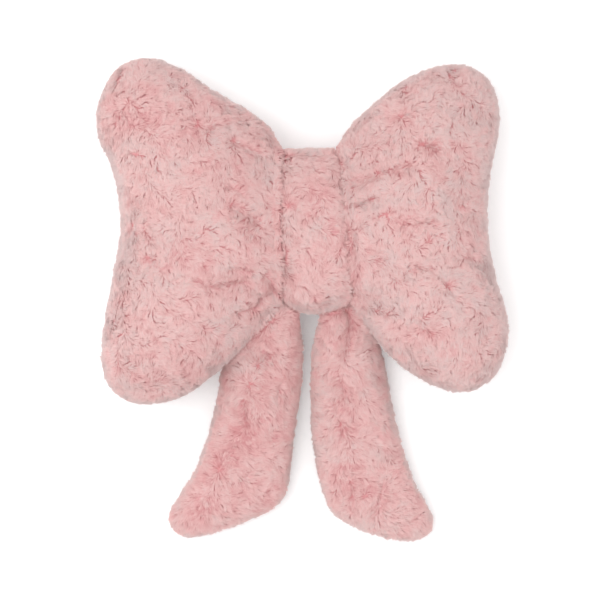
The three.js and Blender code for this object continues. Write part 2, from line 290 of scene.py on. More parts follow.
# Folds of the cloth, where the pile parts: start, middle and end in millimetres, width and depth share
FOLDS = {
    "loop_left": [
        ((-92, 171), (-70, 178), (-47, 180), 4, 0.6),
        ((-67, 92), (-55, 86), (-42, 77), 4, 1.0),
        ((-73, 112), (-67, 109), (-60, 103), 3, 0.7),
        ((-151, 41), (-140, 36), (-130, 27), 4, 0.7),
        ((-105, 21), (-85, 15), (-57, 21), 4, 0.8),
        ((-62, -10), (-50, -6), (-39, 0), 4, 1.0),
        ((-100, -22), (-95, -26), (-90, -31), 3, 0.6),
        ((-152, 77), (-153, 68), (-149, 60), 3, 0.5),
        ((-72, 33), (-59, 31), (-46, 32), 3, 0.7),
        ((-37, 27), (-30, 17), (-19, 5), 4, 1.0),
        ((-40, 3), (-34, 7), (-26, 9), 3, 1.0),
        ((-66, 157), (-54, 151), (-40, 146), 4, 0.7),
    ],
    "loop_right": [
        ((50, 117), (88, 128), (110, 135), 4, 0.9),
        ((47, 94), (58, 97), (70, 101), 3, 0.8),
        ((100, 74), (114, 77), (128, 75), 3, 0.7),
        ((105, 32), (123, 30), (143, 16), 4, 0.8),
        ((90, 22), (97, 20), (104, 21), 3, 0.5),
        ((115, 154), (125, 153), (135, 152), 3, 0.8),
        ((96, 182), (102, 184), (108, 181), 3, 0.5),
        ((113, 189), (124, 191), (135, 188), 3, 0.5),
        ((142, 14), (145, 10), (148, 5), 3, 0.8),
        ((153, 46), (160, 46), (167, 43), 3, 0.7),
        ((114, -18), (118, -26), (126, -31), 3, 0.5),
    ],
    "knot": [
        ((-12, 94), (3, 87), (16, 80), 3, 0.6),
        ((-18, 70), (-9, 64), (-4, 58), 3, 0.5),
        ((-17, 146), (8, 143), (34, 146), 3, 0.5),
    ],
    "tail_left": [
        ((-31, -52), (-38, -60), (-45, -64), 3, 0.8),
        ((-59, -100), (-58, -110), (-56, -119), 3, 0.7),
        ((-61, -177), (-57, -174), (-53, -170), 3, 0.6),
        ((-23, -83), (-24, -89), (-26, -95), 3, 0.5),
    ],
    "tail_right": [
        ((47, -10), (49, -24), (45, -54), 4, 1.0),
        ((39, -80), (41, -87), (45, -94), 3, 0.9),
        ((31, -98), (33, -104), (33, -111), 3, 0.6),
        ((39, -123), (40, -130), (39, -139), 3, 0.7),
        ((49, -183), (50, -195), (49, -208), 3, 0.6),
        ((79, -184), (77, -198), (76, -213), 3, 0.7),
        ((70, -143), (84, -148), (98, -150), 3, 0.4),
    ],
}

# Wide partings, from which the pile is combed to both sides, written as the folds are
PARTINGS = {
    "loop_left": [
        ((-170, 186), (-160, 172), (-150, 150), 16, 0.25),
        ((-98, 170), (-84, 130), (-70, 106), 12, 0.2),
        ((-128, 58), (-92, 50), (-48, 68), 14, 0.25),
        ((-178, -60), (-150, -84), (-120, -90), 12, 0.2),
    ],
    "loop_right": [
        ((60, 150), (82, 158), (100, 176), 12, 0.15),
        ((128, 150), (156, 140), (170, 98), 14, 0.25),
        ((60, 40), (95, 20), (140, -44), 12, 0.12),
        ((88, 82), (114, 72), (142, 58), 12, 0.25),
    ],
    "knot": [
        ((14, 104), (22, 90), (26, 62), 13, 0.4),
    ],
    "tail_left": [
        ((-38, -56), (-58, -128), (-98, -208), 12, 0.3),
    ],
    "tail_right": [
        ((40, -66), (44, -140), (84, -212), 12, 0.25),
    ],
}

# Spots where the pile parts and its deeper pink shows: middle and radius in millimetres, depth share
PARTED_SPOTS = {
    "loop_left": [
        (-160, 180, 13, 0.7), (-140, 174, 8, 0.6), (-183, 162, 8, 0.5),
        (-97, 167, 8, 0.9), (-109, 191, 3, 1.0), (-130, 151, 10, 0.8), (-106, 124, 3, 1.0),
        (-145, 125, 9, 0.7), (-55, 150, 9, 0.8), (-70, 109, 6, 0.8), (-30, 91, 8, 1.0),
        (-87, 86, 8, 0.9), (-50, 69, 10, 1.0), (-105, 63, 9, 0.9), (-120, 51, 9, 1.0),
        (-88, 46, 6, 1.0), (-175, 9, 7, 0.5), (-129, -10, 9, 0.7), (-120, -38, 4, 0.6),
        (-178, -65, 9, 0.7), (-132, -84, 7, 0.7), (-157, -86, 6, 0.6), (-76, -50, 5, 0.9),
    ],
    "loop_right": [
        (79, 160, 8, 0.9), (100, 177, 9, 0.6), (130, 151, 6, 1.0), (73, 140, 5, 0.8),
        (155, 137, 6, 0.8), (134, 122, 7, 1.0), (170, 101, 6, 0.9), (155, 96, 9, 1.0),
        (119, 96, 7, 1.1), (94, 81, 8, 1.2), (47, 91, 5, 1.0), (73, 42, 8, 1.1),
        (131, 65, 9, 1.2), (176, 15, 8, 0.7), (78, -12, 6, 0.5), (143, -48, 10, 0.5),
        (183, 206, 6, 0.5),
    ],
    "knot": [
        (13, 122, 6, 0.4), (18, 97, 7, 0.6), (26, 75, 8, 0.6), (-14, 142, 3, 1.0),
    ],
    "tail_left": [
        (-50, -80, 7, 1.0), (-41, -119, 8, 1.1), (-30, -134, 7, 0.9), (-60, -137, 10, 1.0),
        (-80, -160, 9, 1.3), (-96, -202, 10, 1.0), (-61, -201, 5, 0.8), (-107, -214, 7, 0.7),
        (-33, -57, 7, 0.9), (-24, -91, 5, 0.8), (-58, -107, 5, 0.8), (-57, -178, 9, 0.6),
    ],
    "tail_right": [
        (55, -123, 6, 0.9), (44, -148, 8, 0.7), (38, -166, 8, 0.8), (43, -178, 7, 0.7),
        (45, -132, 3, 1.0), (76, -216, 5, 0.8), (37, -70, 6, 0.8), (108, -223, 5, 0.6),
    ],
}


# Mesh helpers

def in_scene(name, data):
    """A new object in the scene."""
    thing = bpy.data.objects.new(name, data)
    bpy.context.scene.collection.objects.link(thing)
    return thing


def made_plain(piece):
    """The piece's mesh with its modifiers taken in."""
    evaluated = piece.evaluated_get(bpy.context.evaluated_depsgraph_get())
    mesh = bpy.data.meshes.new_from_object(evaluated)
    piece.modifiers.clear()
    piece.data = mesh


def places(mesh):
    values = np.empty(len(mesh.vertices) * 3, np.float32)
    mesh.vertices.foreach_get("co", values)
    return values.reshape(-1, 3)


def set_places(mesh, points):
    mesh.vertices.foreach_set("co", np.ascontiguousarray(points, np.float32).ravel())
    mesh.update()


def normals(mesh):
    values = np.empty(len(mesh.vertices) * 3, np.float32)
    mesh.vertex_normals.foreach_get("vector", values)
    return values.reshape(-1, 3)


def store(mesh, name, values):
    """Keep a number or a vector for each point of the mesh."""
    values = np.ascontiguousarray(values, np.float32)
    kind, field = ("FLOAT", "value") if values.ndim == 1 else ("FLOAT_VECTOR", "vector")
    attribute = mesh.attributes.get(name) or mesh.attributes.new(name, kind, "POINT")
    attribute.data.foreach_set(field, values.ravel())


def recall(mesh, name, width=1):
    """What was kept for each point of the mesh, as numbers or as vectors of that width."""
    values = np.empty(len(mesh.vertices) * width, np.float32)
    mesh.attributes[name].data.foreach_get("value" if width == 1 else "vector", values)
    return values if width == 1 else values.reshape(-1, width)


def uneven(points, size):
    """A number between -1 and 1 that changes slowly from place to place."""
    return np.array([noise.noise(Vector(point) / size) for point in points])


def eased(share):
    """The share held between 0 and 1, and changing gently near both."""
    share = np.clip(share, 0, 1)
    return share * share * (3 - 2 * share)


def eased_between(values, start, end):
    """0 before the start, 1 past the end, and eased between them."""
    return eased((values - start) / (end - start))


def either(first, second):
    """The share that one of two shares or the other covers."""
    return 1 - (1 - first) * (1 - second)


# The cloth of each filled piece

def solid_tree(node):
    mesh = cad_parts[node].data
    triangles = [tuple(p.vertices) for p in mesh.polygons]
    return BVHTree.FromPolygons([v.co.copy() for v in mesh.vertices], triangles)


SOLID_TREES = {node: solid_tree(node) for node in FILLED}


def gap_to_neighbour(node, points):
    """How far each point is from the nearest other solid, and the way that leads from it."""
    others = [tree for name, tree in SOLID_TREES.items() if name != node]
    gaps = np.empty(len(points), np.float32)
    away = np.empty((len(points), 3), np.float32)
    for i, point in enumerate(points):
        here = Vector(point)
        hits = [tree.find_nearest(here) for tree in others]
        nearest = min(hits, key=lambda hit: hit[3])
        gaps[i] = nearest[3]
        away[i] = (here - nearest[0]).normalized()
    return gaps, away


def add_smoothing(piece, times):
    smooth = piece.modifiers.new("smooth", "SMOOTH")
    smooth.factor = SMOOTHING
    smooth.iterations = times


def cloth_from_solid(node):
    """The solid's skin as an even cloth, drawn in by the depth of the pile."""
    piece = in_scene(node + "_cloth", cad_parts[node].data.copy())
    weld = piece.modifiers.new("weld", "WELD")
    weld.merge_threshold = WELD_GAP
    remesh = piece.modifiers.new("remesh", "REMESH")
    remesh.mode = "VOXEL"
    remesh.voxel_size = VOXEL
    add_smoothing(piece, SMOOTHINGS_ONCE_REMESHED)
    made_plain(piece)
    mesh = piece.data
    points = places(mesh)
    gaps = gap_to_neighbour(node, points)[0]
    free = eased(gaps / CLEAR_OF_NEIGHBOUR)
    inset = SEWN_INSET + (FILLED[node]["pile_depth"] - SEWN_INSET) * free
    set_places(mesh, points - normals(mesh) * inset[:, None])
    sewn = piece.vertex_groups.new(name="sewn")
    for i, share in enumerate(free):
        sewn.add([i], float(1 - share), "REPLACE")
    return piece


def fill_with_air(cloths):
    """Swell the cloths by a short simulation, with a cap on how far a point may move."""
    before = {node: places(piece.data) for node, piece in cloths.items()}
    for piece in cloths.values():
        cloth = piece.modifiers.new("filling", "CLOTH")
        cloth.settings.quality = CLOTH_QUALITY
        cloth.settings.mass = CLOTH_MASS
        cloth.settings.use_pressure = True
        cloth.settings.uniform_pressure_force = SWELL_PRESSURE
        cloth.settings.vertex_group_mass = "sewn"
        cloth.settings.effector_weights.gravity = 0
        cloth.point_cache.frame_start = 1
        cloth.point_cache.frame_end = SWELL_FRAMES
    for step in range(1, SWELL_FRAMES + 1):
        bpy.context.scene.frame_set(step)
    for node, piece in cloths.items():
        made_plain(piece)
        moved = places(piece.data) - before[node]
        length = np.linalg.norm(moved, axis=1) + SPECK
        kept = np.minimum(1, FILLED[node]["swell_cap"] / length)
        set_places(piece.data, before[node] + moved * kept[:, None])
    bpy.context.scene.frame_set(1)


def smoothed_cloth(piece):
    """A light smoothing and one subdivision, then flat where it lies on the floor."""
    add_smoothing(piece, SMOOTHINGS_ONCE_SWOLLEN)
    finer = piece.modifiers.new("finer", "SUBSURF")
    finer.levels = 1
    finer.render_levels = 1
    made_plain(piece)
    points = places(piece.data)
    points[:, 2] = np.maximum(points[:, 2], LOWEST_CLOTH)
    set_places(piece.data, points)
    piece.data.shade_smooth()


def from_curve(start, middle, end, plan):
    """How far each point is from a curved fold in plan, and the way that leads away from it."""
    t = np.linspace(0, 1, FOLD_POINTS)[:, None]
    start, middle, end = (np.array(p) * MM for p in (start, middle, end))
    through = 2 * middle - (start + end) / 2
    curve = start * (1 - t) ** 2 + through * 2 * t * (1 - t) + end * t * t
    best = np.full(len(plan), np.inf)
    away = np.zeros((len(plan), 2))
    for a, b in zip(curve[:-1], curve[1:]):
        share = np.clip((plan - a) @ (b - a) / ((b - a) @ (b - a)), 0, 1)[:, None]
        offset = plan - (a + share * (b - a))
        distance = np.linalg.norm(offset, axis=1)
        nearer = distance < best
        best[nearer] = distance[nearer]
        away[nearer] = offset[nearer] / (distance[nearer, None] + SPECK)
    return best, away


def from_spot(x, y, plan):
    """How far each point is from a spot in plan, and the way that leads away from it."""
    offset = plan - np.array((x, y)) * MM
    distance = np.linalg.norm(offset, axis=1)
    return distance, offset / (distance[:, None] + SPECK)


def lean_share(distance, width):
    """How strongly a fold or spot turns the pile away: none on it, most a width from it, then fading."""
    share = distance / width
    return share * np.exp(0.5 * (1 - share * share))


def nearness(distance, width):
    return np.exp(-(distance / width) ** 2)


def note_line(noted, look, distance, away, width, depth, upper):
    """Note a fold or a spot: the pile is combed from it and parts on it, and the cloth is pressed in."""
    near = nearness(distance, look["line"] * width * MM)
    lean = look["comb"] * lean_share(distance, width * MM) * depth * upper
    noted["comb"][:, :2] += away * lean[:, None]
    noted["pressed"] += near * depth * upper * look["pressed"]
    noted["parted"] = either(noted["parted"], look["parted"] * near * depth * upper)


def note_parting(noted, ragged, distance, away, width, depth, upper):
    """Note a wide parting: the pile is combed to both sides of it and parts unevenly along it."""
    near = nearness(distance, width * MM)
    lean = PARTING_COMB * lean_share(distance, width * MM) * upper
    noted["comb"][:, :2] += away * lean[:, None]
    noted["parted"] = either(noted["parted"], near * depth * upper * ragged)


def noted_lines(node, points, upper):
    """How the folds, partings and spots of a piece comb and part its pile and press its cloth."""
    plan = points[:, :2].astype(float)
    noted = {
        "comb": np.zeros((len(points), 3)),
        "parted": np.zeros(len(points)),
        "pressed": np.zeros(len(points)),
    }
    for start, middle, end, width, depth in FOLDS[node]:
        note_line(noted, FOLD_LOOK, *from_curve(start, middle, end, plan), width, depth, upper)
    ragged = 1 + PARTING_RAGGED * uneven(points, PARTING_RAGGED_SIZE)
    for start, middle, end, width, depth in PARTINGS[node]:
        note_parting(noted, ragged, *from_curve(start, middle, end, plan), width, depth, upper)
    for x, y, radius, depth in PARTED_SPOTS[node]:
        note_line(noted, SPOT_LOOK, *from_spot(x, y, plan), radius, depth, upper)
    return noted


def crease_cover(heights):
    """How far the pile leans over a crease: least beside the top of the knot, most below its middle."""
    return COVER_LEAST + COVER_GAIN * eased((COVER_STARTS - heights) / COVER_RUN)


def downhill(skin):
    """The way down the slope of the skin, longer the steeper it is."""
    way = skin * skin[:, 2:]
    way[:, 2] -= 1
    return way


def press_and_fill(node, points, skin, upper, crease, cover, gaps, pressed):
    """Move the cloth's points: lumps of filling, folds pressed in, and the creases filled up."""
    lumps = sum(height * uneven(points, size) for height, size in LUMPS)
    raised = lumps * (1 - crease) - FOLD_DEPTH * np.clip(pressed, 0, MOST_PRESSED)
    points += skin * raised[:, None]
    beside = 1 - eased(gaps / CREASE_FILL_REACH)
    points[:, 2] += FILLED[node]["crease_fill"] * upper * beside * (1 + COVERED_FILL * cover)


def comb_the_cloth(node, piece):
    """Press the folds into the cloth, and note for each point how the pile grows there."""
    mesh = piece.data
    points = places(mesh)
    skin = normals(mesh)
    upper = eased_between(skin[:, 2], *UPPER_SKIN)
    noted = noted_lines(node, points, upper)
    gaps, away = gap_to_neighbour(node, points)
    crease = 1 - eased(gaps / CLEAR_OF_NEIGHBOUR)
    cover = crease_cover(points[:, 1].astype(float))
    steep = eased_between(skin[:, 2], *STEEP_SKIN)
    edge = steep * (1 - crease)
    inner = 1 - eased(gaps / INNER_WALL)
    outward = eased_between(skin[:, 2], *OUTER_SKIN)
    parted = np.clip(noted["parted"] * (1 - edge), 0, 1)
    # In a crease the pile parts and ruffles, and the parting also deepens its pink as painted shade
    parted = either(parted, CREASE_PARTED * crease)
    comb = noted["comb"]
    comb += away * (crease * (CREASE_RUFFLE * uneven(points, CREASE_RUFFLE_SIZE) - cover))[:, None]
    comb += FILLED[node]["sweep"] * downhill(skin)
    comb[:, 2] -= EDGE_DROOP * edge
    open_crease = crease * (CREASE_SOFT + CREASE_SOFT_GAIN * cover)
    press_and_fill(node, points, skin, upper, crease, cover, gaps, noted["pressed"])
    set_places(mesh, points)
    store(mesh, "comb", comb)
    store(mesh, "parted", parted)
    store(mesh, "edge", edge)
    # Painted shade: outer rims, away from any neighbour, get greyer, darker pile
    store(mesh, "greyed", edge * (1 - inner))
    store(mesh, "crease", outward * np.maximum(open_crease, INNER_WALL_SOFT * steep * inner))
    # Painted shade: open creases get deeper pink pile
    store(mesh, "seam", crease * (1 - cover))
    store(mesh, "reach", (1 - PARTED_SHORTER * parted) * (1 + COVERED_REACH * crease * cover))
    store(mesh, "grows", (gaps > SEWN_GAP).astype(float))


# Node recipes

class Recipe:
    """Adds nodes to a tree. An input is a plain value or another node's output."""

    def __init__(self, tree):
        self.tree = tree

    def add(self, kind, settings=(), inputs=()):
        node = self.tree.nodes.new(kind)
        for name, value in dict(settings).items():
            setattr(node, name, value)
        self.feed(node, inputs)
        return node

    def feed(self, node, inputs):
        """Set a node's sockets to plain values, or link them to other nodes' outputs."""
        for name, value in dict(inputs).items():
            socket = self.socket(node.inputs, name)
            if isinstance(value, bpy.types.NodeSocket):
                self.tree.links.new(value, socket)
            else:
                socket.default_value = value

    @staticmethod
    def socket(sockets, name):
        if isinstance(name, int):
            return sockets[name]
        return next(s for s in sockets if s.name == name and s.enabled)

    def out(self, node, name=0):
        return self.socket(node.outputs, name)

    def step(self, kind, inputs):
        """One step of a Geometry Nodes tree, and the geometry or field that comes out of it."""
        return self.out(self.add("GeometryNode" + kind, (), inputs))

    def maths(self, operation, *values, clamp=False):
        settings = {"operation": operation, "use_clamp": clamp}
        return self.out(self.add("ShaderNodeMath", settings, dict(enumerate(values))))

    def plus(self, first, second):
        return self.maths("ADD", first, second)

    def minus(self, first, second):
        return self.maths("SUBTRACT", first, second)

    def times(self, first, second):
        return self.maths("MULTIPLY", first, second)

    def less_part(self, whole, share, part):
        """The whole less a part of the share."""
        return self.minus(whole, self.times(share, part))

    def vector(self, operation, *values):
        inputs = dict(enumerate(values))
        if operation == "SCALE":
            inputs = {0: values[0], "Scale": values[1]}
        node = self.add("ShaderNodeVectorMath", {"operation": operation}, inputs)
        return self.out(node, "Value" if operation == "DOT_PRODUCT" else "Vector")

    def scaled(self, vector, factor):
        return self.vector("SCALE", vector, factor)

    def sum_of(self, *vectors):
        total = vectors[0]
        for vector in vectors[1:]:
            total = self.vector("ADD", total, vector)
        return total

    def attribute(self, name, kind="FLOAT"):
        node = self.add("GeometryNodeInputNamedAttribute", {"data_type": kind}, {"Name": name})
        return self.out(node, "Attribute")

    def stored(self, geometry, name, value, kind="FLOAT"):
        settings = {"data_type": kind, "domain": "POINT"}
        inputs = {"Geometry": geometry, "Name": name, "Value": value}
        return self.out(self.add("GeometryNodeStoreNamedAttribute", settings, inputs))

    def noise(self, place, size, kind="Fac", detail=1.0):
        inputs = {"Vector": place, "Scale": 1 / size, "Detail": detail}
        return self.out(self.add("ShaderNodeTexNoise", {"noise_dimensions": "3D"}, inputs), kind)

    def centred(self, place, size, detail=1.0):
        """A number about nought that changes slowly from place to place."""
        return self.minus(self.noise(place, size, detail=detail), 0.5)

    def wander(self, place, size):
        """A vector that turns slowly from place to place."""
        return self.vector("SUBTRACT", self.noise(place, size, "Color"), (0.5, 0.5, 0.5))

    def random(self, low, high, seed):
        inputs = {"Min": low, "Max": high, "Seed": seed}
        return self.out(self.add("FunctionNodeRandomValue", {"data_type": "FLOAT"}, inputs), "Value")


def along_skin(recipe, vector, normal):
    """The part of a vector that lies along the cloth, at length 1."""
    rise = recipe.vector("DOT_PRODUCT", vector, normal)
    flat = recipe.vector("SUBTRACT", vector, recipe.scaled(normal, rise))
    return recipe.vector("NORMALIZE", flat)


def turned_about(recipe, vector, axis, angle):
    return recipe.out(recipe.add("ShaderNodeVectorRotate", {"rotation_type": "AXIS_ANGLE"}, {
        "Vector": vector, "Axis": axis, "Angle": angle,
    }))


# The way the pile lies

def patch_cells(recipe, place, patches, feature):
    """Cells of the patches' size, moved about so that their borders are wavy."""
    wander = recipe.scaled(recipe.wander(place, RIPPLE_SIZE), PATCH_WANDER * patches["size"])
    return recipe.add("ShaderNodeTexVoronoi", {"feature": feature}, {
        "Vector": recipe.vector("ADD", place, wander), "Scale": 1 / patches["size"],
    })


def patch_turn(recipe, place, patches):
    """One angle for each patch of pile that lies one way."""
    colour = recipe.out(patch_cells(recipe, place, patches, "F1"), "Color")
    parts = recipe.add("ShaderNodeSeparateXYZ", (), {0: colour})
    return recipe.times(recipe.minus(recipe.out(parts, "X"), 0.5), patches["turn"])


def overlap(recipe, place, patches):
    """How clear a line is where one patch of the pile lies over the next, on some borders only."""
    cells = patch_cells(recipe, place, patches, "DISTANCE_TO_EDGE")
    distance = recipe.times(recipe.out(cells, "Distance"), patches["size"] / patches["line"])
    border = recipe.maths("SUBTRACT", patches["strength"], distance, clamp=True)
    where = recipe.minus(recipe.noise(place, patches["area"]), LINES_FROM)
    return recipe.times(border, recipe.maths("MULTIPLY", where, LINES_STEEP, clamp=True))


def combed(recipe, place, normal, ruffle):
    """The way the pile lies: it turns from place to place, and follows the combing noted on the cloth."""
    edge = recipe.attribute("edge")
    swirl = recipe.times(recipe.noise(place, SWIRL_SIZE), SWIRL_TURN)
    large, small = (patch_turn(recipe, place, patches) for patches in PATCHES)
    swirled = along_skin(recipe, turned_about(recipe, UP_THE_BOW, normal, swirl), normal)
    loose = recipe.less_part(SWIRL_SHARE, edge, SWIRL_LESS_AT_EDGE)
    lay = recipe.sum_of(recipe.scaled(swirled, loose), recipe.attribute("comb", "FLOAT_VECTOR"))
    ripple = recipe.times(recipe.centred(place, RIPPLE_SIZE), RIPPLE_TURN)
    patch = recipe.times(recipe.plus(large, small), recipe.less_part(1.0, edge, PATCH_LESS_AT_EDGE))
    turn = recipe.times(recipe.plus(ripple, patch), ruffle)
    return turned_about(recipe, along_skin(recipe, lay, normal), normal, turn)


# The pile

def pile_inputs(tree):
    """The named inputs of a coat of the pile, and its output."""
    face = tree.interface
    face.new_socket("Geometry", in_out="INPUT", socket_type="NodeSocketGeometry")
    for name in COAT_NUMBERS:
        face.new_socket(name, in_out="INPUT", socket_type="NodeSocketFloat")
    face.new_socket("Seed", in_out="INPUT", socket_type="NodeSocketInt")
    face.new_socket("Pile material", in_out="INPUT", socket_type="NodeSocketMaterial")
    face.new_socket("Geometry", in_out="OUTPUT", socket_type="NodeSocketGeometry")


def scattered_roots(recipe, given):
    """Roots on the wanted side of the cloth, none where it is sewn against a neighbour."""
    normal = recipe.out(recipe.add("GeometryNodeInputNormal"))
    height = recipe.out(recipe.add("ShaderNodeSeparateXYZ", (), {0: normal}), "Z")
    facing = recipe.times(recipe.plus(height, SIDES_MEET), given["Side"])
    wanted = recipe.times(recipe.maths("GREATER_THAN", facing, 0.0), recipe.attribute("grows"))
    return recipe.add("GeometryNodeDistributePointsOnFaces", {"distribute_method": "RANDOM"}, {
        "Mesh": given["Geometry"],
        "Density": recipe.times(given["Blades per m2"], wanted),
        "Seed": given["Seed"],
    })


def spaced_locks(recipe, given, place):
    """Locks spread over the cloth, each a point that knows where the lock's tip is, and its tone."""
    locks = recipe.add("GeometryNodeDistributePointsOnFaces", {"distribute_method": "POISSON"}, {
        "Mesh": given["Geometry"],
        "Distance Min": given["Lock spacing"],
        "Density Max": MOST_LOCKS,
        "Density Factor": 1.0,
        "Seed": SEEDS["locks"],
    })
    normal = recipe.out(locks, "Normal")
    lean = recipe.sum_of(
        recipe.scaled(combed(recipe, place, normal, given["Ruffle"]), LOCK_FORWARD),
        recipe.scaled(normal, LOCK_RISE),
    )
    tip = recipe.vector("ADD", place, recipe.scaled(lean, given["Blade length"]))
    points = recipe.stored(recipe.out(locks, "Points"), "lock_tip", tip, "FLOAT_VECTOR")
    return recipe.stored(points, "lock_tone", recipe.random(-1.0, 1.0, SEEDS["lock tone"]))


def of_nearest_lock(recipe, locks, place, name, kind="FLOAT"):
    """What is noted on the lock nearest to a blade's root."""
    nearest = recipe.out(recipe.add("GeometryNodeSampleNearest", {"domain": "POINT"}, {
        "Geometry": locks, "Sample Position": place,
    }))
    return recipe.out(recipe.add("GeometryNodeSampleIndex", {"data_type": kind, "domain": "POINT"}, {
        "Geometry": locks, "Value": recipe.attribute(name, kind), "Index": nearest,
    }))


def own_lean(recipe, given, place, normal):
    """The way a blade leans of its own: as the pile is combed there, and a little astray."""
    ruffled = recipe.plus(recipe.times(given["Ruffle"], STRAY_BY_RUFFLE),
                          recipe.times(recipe.attribute("parted"), STRAY_IN_PARTING))
    stray = recipe.scaled(recipe.wander(place, STRAY_SIZE), ruffled)
    lay = combed(recipe, place, normal, given["Ruffle"])
    return along_skin(recipe, recipe.vector("ADD", lay, stray), normal)


def blade_overlap(recipe, given, place, own):
    """How far a blade is in a line where one patch of the pile lies over the next."""
    seen = recipe.vector("ADD", place, recipe.scaled(own, recipe.times(given["Blade length"], SEEN_AT)))
    large, small = (overlap(recipe, seen, patches) for patches in PATCHES)
    return recipe.times(recipe.maths("MAXIMUM", large, small), given["Ruffle"])


def blade_reach(recipe, given, over):
    """How far a blade's tip is from its root."""
    share = recipe.random(*BLADE_REACH, SEEDS["blade reach"])
    reach = recipe.times(recipe.times(given["Blade length"], share), recipe.attribute("reach"))
    return recipe.times(reach, recipe.less_part(1.0, over, OVERLAP_SHORTER))


def own_tip(recipe, place, normal, own, reach):
    """The blade's tip seen from its root, before its lock draws it."""
    tuft = recipe.times(recipe.minus(recipe.noise(place, TUFT_SIZE), TUFT_FROM), recipe.attribute("edge"))
    rise = recipe.plus(recipe.random(*BLADE_RISE, SEEDS["blade rise"]), recipe.times(tuft, TUFT_RISE))
    forward = recipe.less_part(BLADE_FORWARD, recipe.attribute("parted"), FORWARD_LESS_IN_PARTING)
    return recipe.scaled(recipe.sum_of(recipe.scaled(own, forward), recipe.scaled(normal, rise)), reach)


def drawn_tip(recipe, given, place, tip, reach, lock_tip):
    """The blade's tip once its lock has drawn it, as far from the root as before."""
    to_lock = recipe.vector("SUBTRACT", lock_tip, place)
    harder = recipe.plus(1.0, recipe.times(recipe.attribute("edge"), PULL_MORE_AT_EDGE))
    pull = recipe.times(given["Lock pull"], harder)
    drawn = recipe.vector("ADD", tip, recipe.scaled(recipe.vector("SUBTRACT", to_lock, tip), pull))
    return recipe.scaled(recipe.vector("NORMALIZE", drawn), reach)


def blade_tone(recipe, given, place, over, lock_tone):
    """Tone from 0, the deep pink of a parting, to 1, the greyer, darker pink of the painted rim shade."""
    broad = recipe.times(recipe.centred(place, BROAD_SIZE, TONE_DETAIL), BROAD_TONE)
    mottle = recipe.times(recipe.centred(place, MOTTLE_SIZE, TONE_DETAIL), MOTTLE_TONE)
    tone = recipe.plus(recipe.plus(broad, mottle), recipe.times(lock_tone, LOCK_TONE))
    tone = recipe.plus(tone, recipe.random(*BLADE_TONE, SEEDS["blade tone"]))
    # Painted shade: deeper pink where one patch lies over the next
    tone = recipe.less_part(tone, over, OVERLAP_SHADE_TONE)
    # Painted shade: greyer, darker pile on the outer rims
    tone = recipe.plus(tone, recipe.times(recipe.attribute("greyed"), RIM_SHADE_TONE))
    # The piece's greyness, which on the right loop is painted shade
    tone = recipe.plus(tone, given["Greyness"])
    # Painted shade: deeper pink in open creases
    tone = recipe.less_part(tone, recipe.attribute("seam"), CREASE_SHADE_TONE)
    tangle = recipe.times(recipe.minus(TANGLE_FROM, recipe.noise(place, TANGLE_SIZE)), TANGLE_TONE)
    return recipe.less_part(tone, recipe.attribute("parted"), tangle)


def bent_blade(recipe, given):
    """Where each point of a blade goes: along a bend over its knee to its tip, and aside by its width."""
    along = recipe.attribute("along")
    knee_share = recipe.times(recipe.times(along, recipe.minus(1.0, along)), 2.0)
    half = recipe.times(recipe.attribute("aside"), recipe.times(given["Blade width"], 0.5))
    shares = {"knee": knee_share, "tip": recipe.times(along, along), "across": half}
    root = recipe.attribute("root", "FLOAT_VECTOR")
    ways = [recipe.scaled(recipe.attribute(name, "FLOAT_VECTOR"), share) for name, share in shares.items()]
    return recipe.sum_of(root, *ways)


def pile_tree(blade):
    """Geometry Nodes that grow one coat of the pile on a cloth."""
    tree = bpy.data.node_groups.new("plush_pile", "GeometryNodeTree")
    pile_inputs(tree)
    r = Recipe(tree)
    given = r.add("NodeGroupInput").outputs
    place = r.out(r.add("GeometryNodeInputPosition"))
    locks = spaced_locks(r, given, place)
    roots = scattered_roots(r, given)
    normal = r.out(roots, "Normal")
    own = own_lean(r, given, place, normal)
    over = blade_overlap(r, given, place, own)
    reach = blade_reach(r, given, over)
    lock_tip = of_nearest_lock(r, locks, place, "lock_tip", "FLOAT_VECTOR")
    tip = drawn_tip(r, given, place, own_tip(r, place, normal, own, reach), reach, lock_tip)
    knee_rise = r.scaled(normal, r.times(reach, KNEE_RISE))
    knee_forward = r.scaled(own, r.times(reach, KNEE_FORWARD))
    blade_ways = {
        "root": place,
        "knee": r.sum_of(knee_rise, knee_forward),
        "tip": tip,
        "across": r.vector("NORMALIZE", r.vector("CROSS_PRODUCT", normal, tip)),
        "skin": normal,
    }
    points = r.out(roots, "Points")
    for name, value in blade_ways.items():
        points = r.stored(points, name, value, "FLOAT_VECTOR")
    lock_tone = of_nearest_lock(r, locks, place, "lock_tone")
    points = r.stored(points, "tone", blade_tone(r, given, place, over, lock_tone))
    template = r.add("GeometryNodeObjectInfo", {"transform_space": "ORIGINAL"}, {"Object": blade})
    pile = r.step("InstanceOnPoints", {"Points": points, "Instance": r.out(template, "Geometry")})
    pile = r.step("RealizeInstances", {"Geometry": pile})
    pile = r.step("SetPosition", {"Geometry": pile, "Position": bent_blade(r, given)})
    pile = r.step("SetMaterial", {"Geometry": pile, "Material": given["Pile material"]})
    r.add("NodeGroupOutput", (), {"Geometry": pile})
    return tree


def blade_template():
    """One blade as a narrow diamond: root, widest place and tip."""
    mesh = bpy.data.meshes.new("blade")
    mesh.from_pydata([(0, 0, 0), (0, -1, 0), (0, 1, 0), (1, 0, 0)], [], [(0, 1, 2), (1, 3, 2)])
    store(mesh, "along", [0.0, WIDEST_AT, WIDEST_AT, 1.0])
    store(mesh, "aside", [0.0, -1.0, 1.0, 0.0])
    return bpy.data.objects.new("blade", mesh)


def laid_on_floor(mesh):
    """Blades near the floor are pressed together above it, and none comes nearer than the clearance."""
    points = places(mesh)
    sunk = points[:, 2] < FLAT_BELOW
    room = FLAT_BELOW - FLOOR_CLEARANCE
    points[sunk, 2] = FLOOR_CLEARANCE + room * np.exp((points[sunk, 2] - FLAT_BELOW) / room)
    set_places(mesh, points)


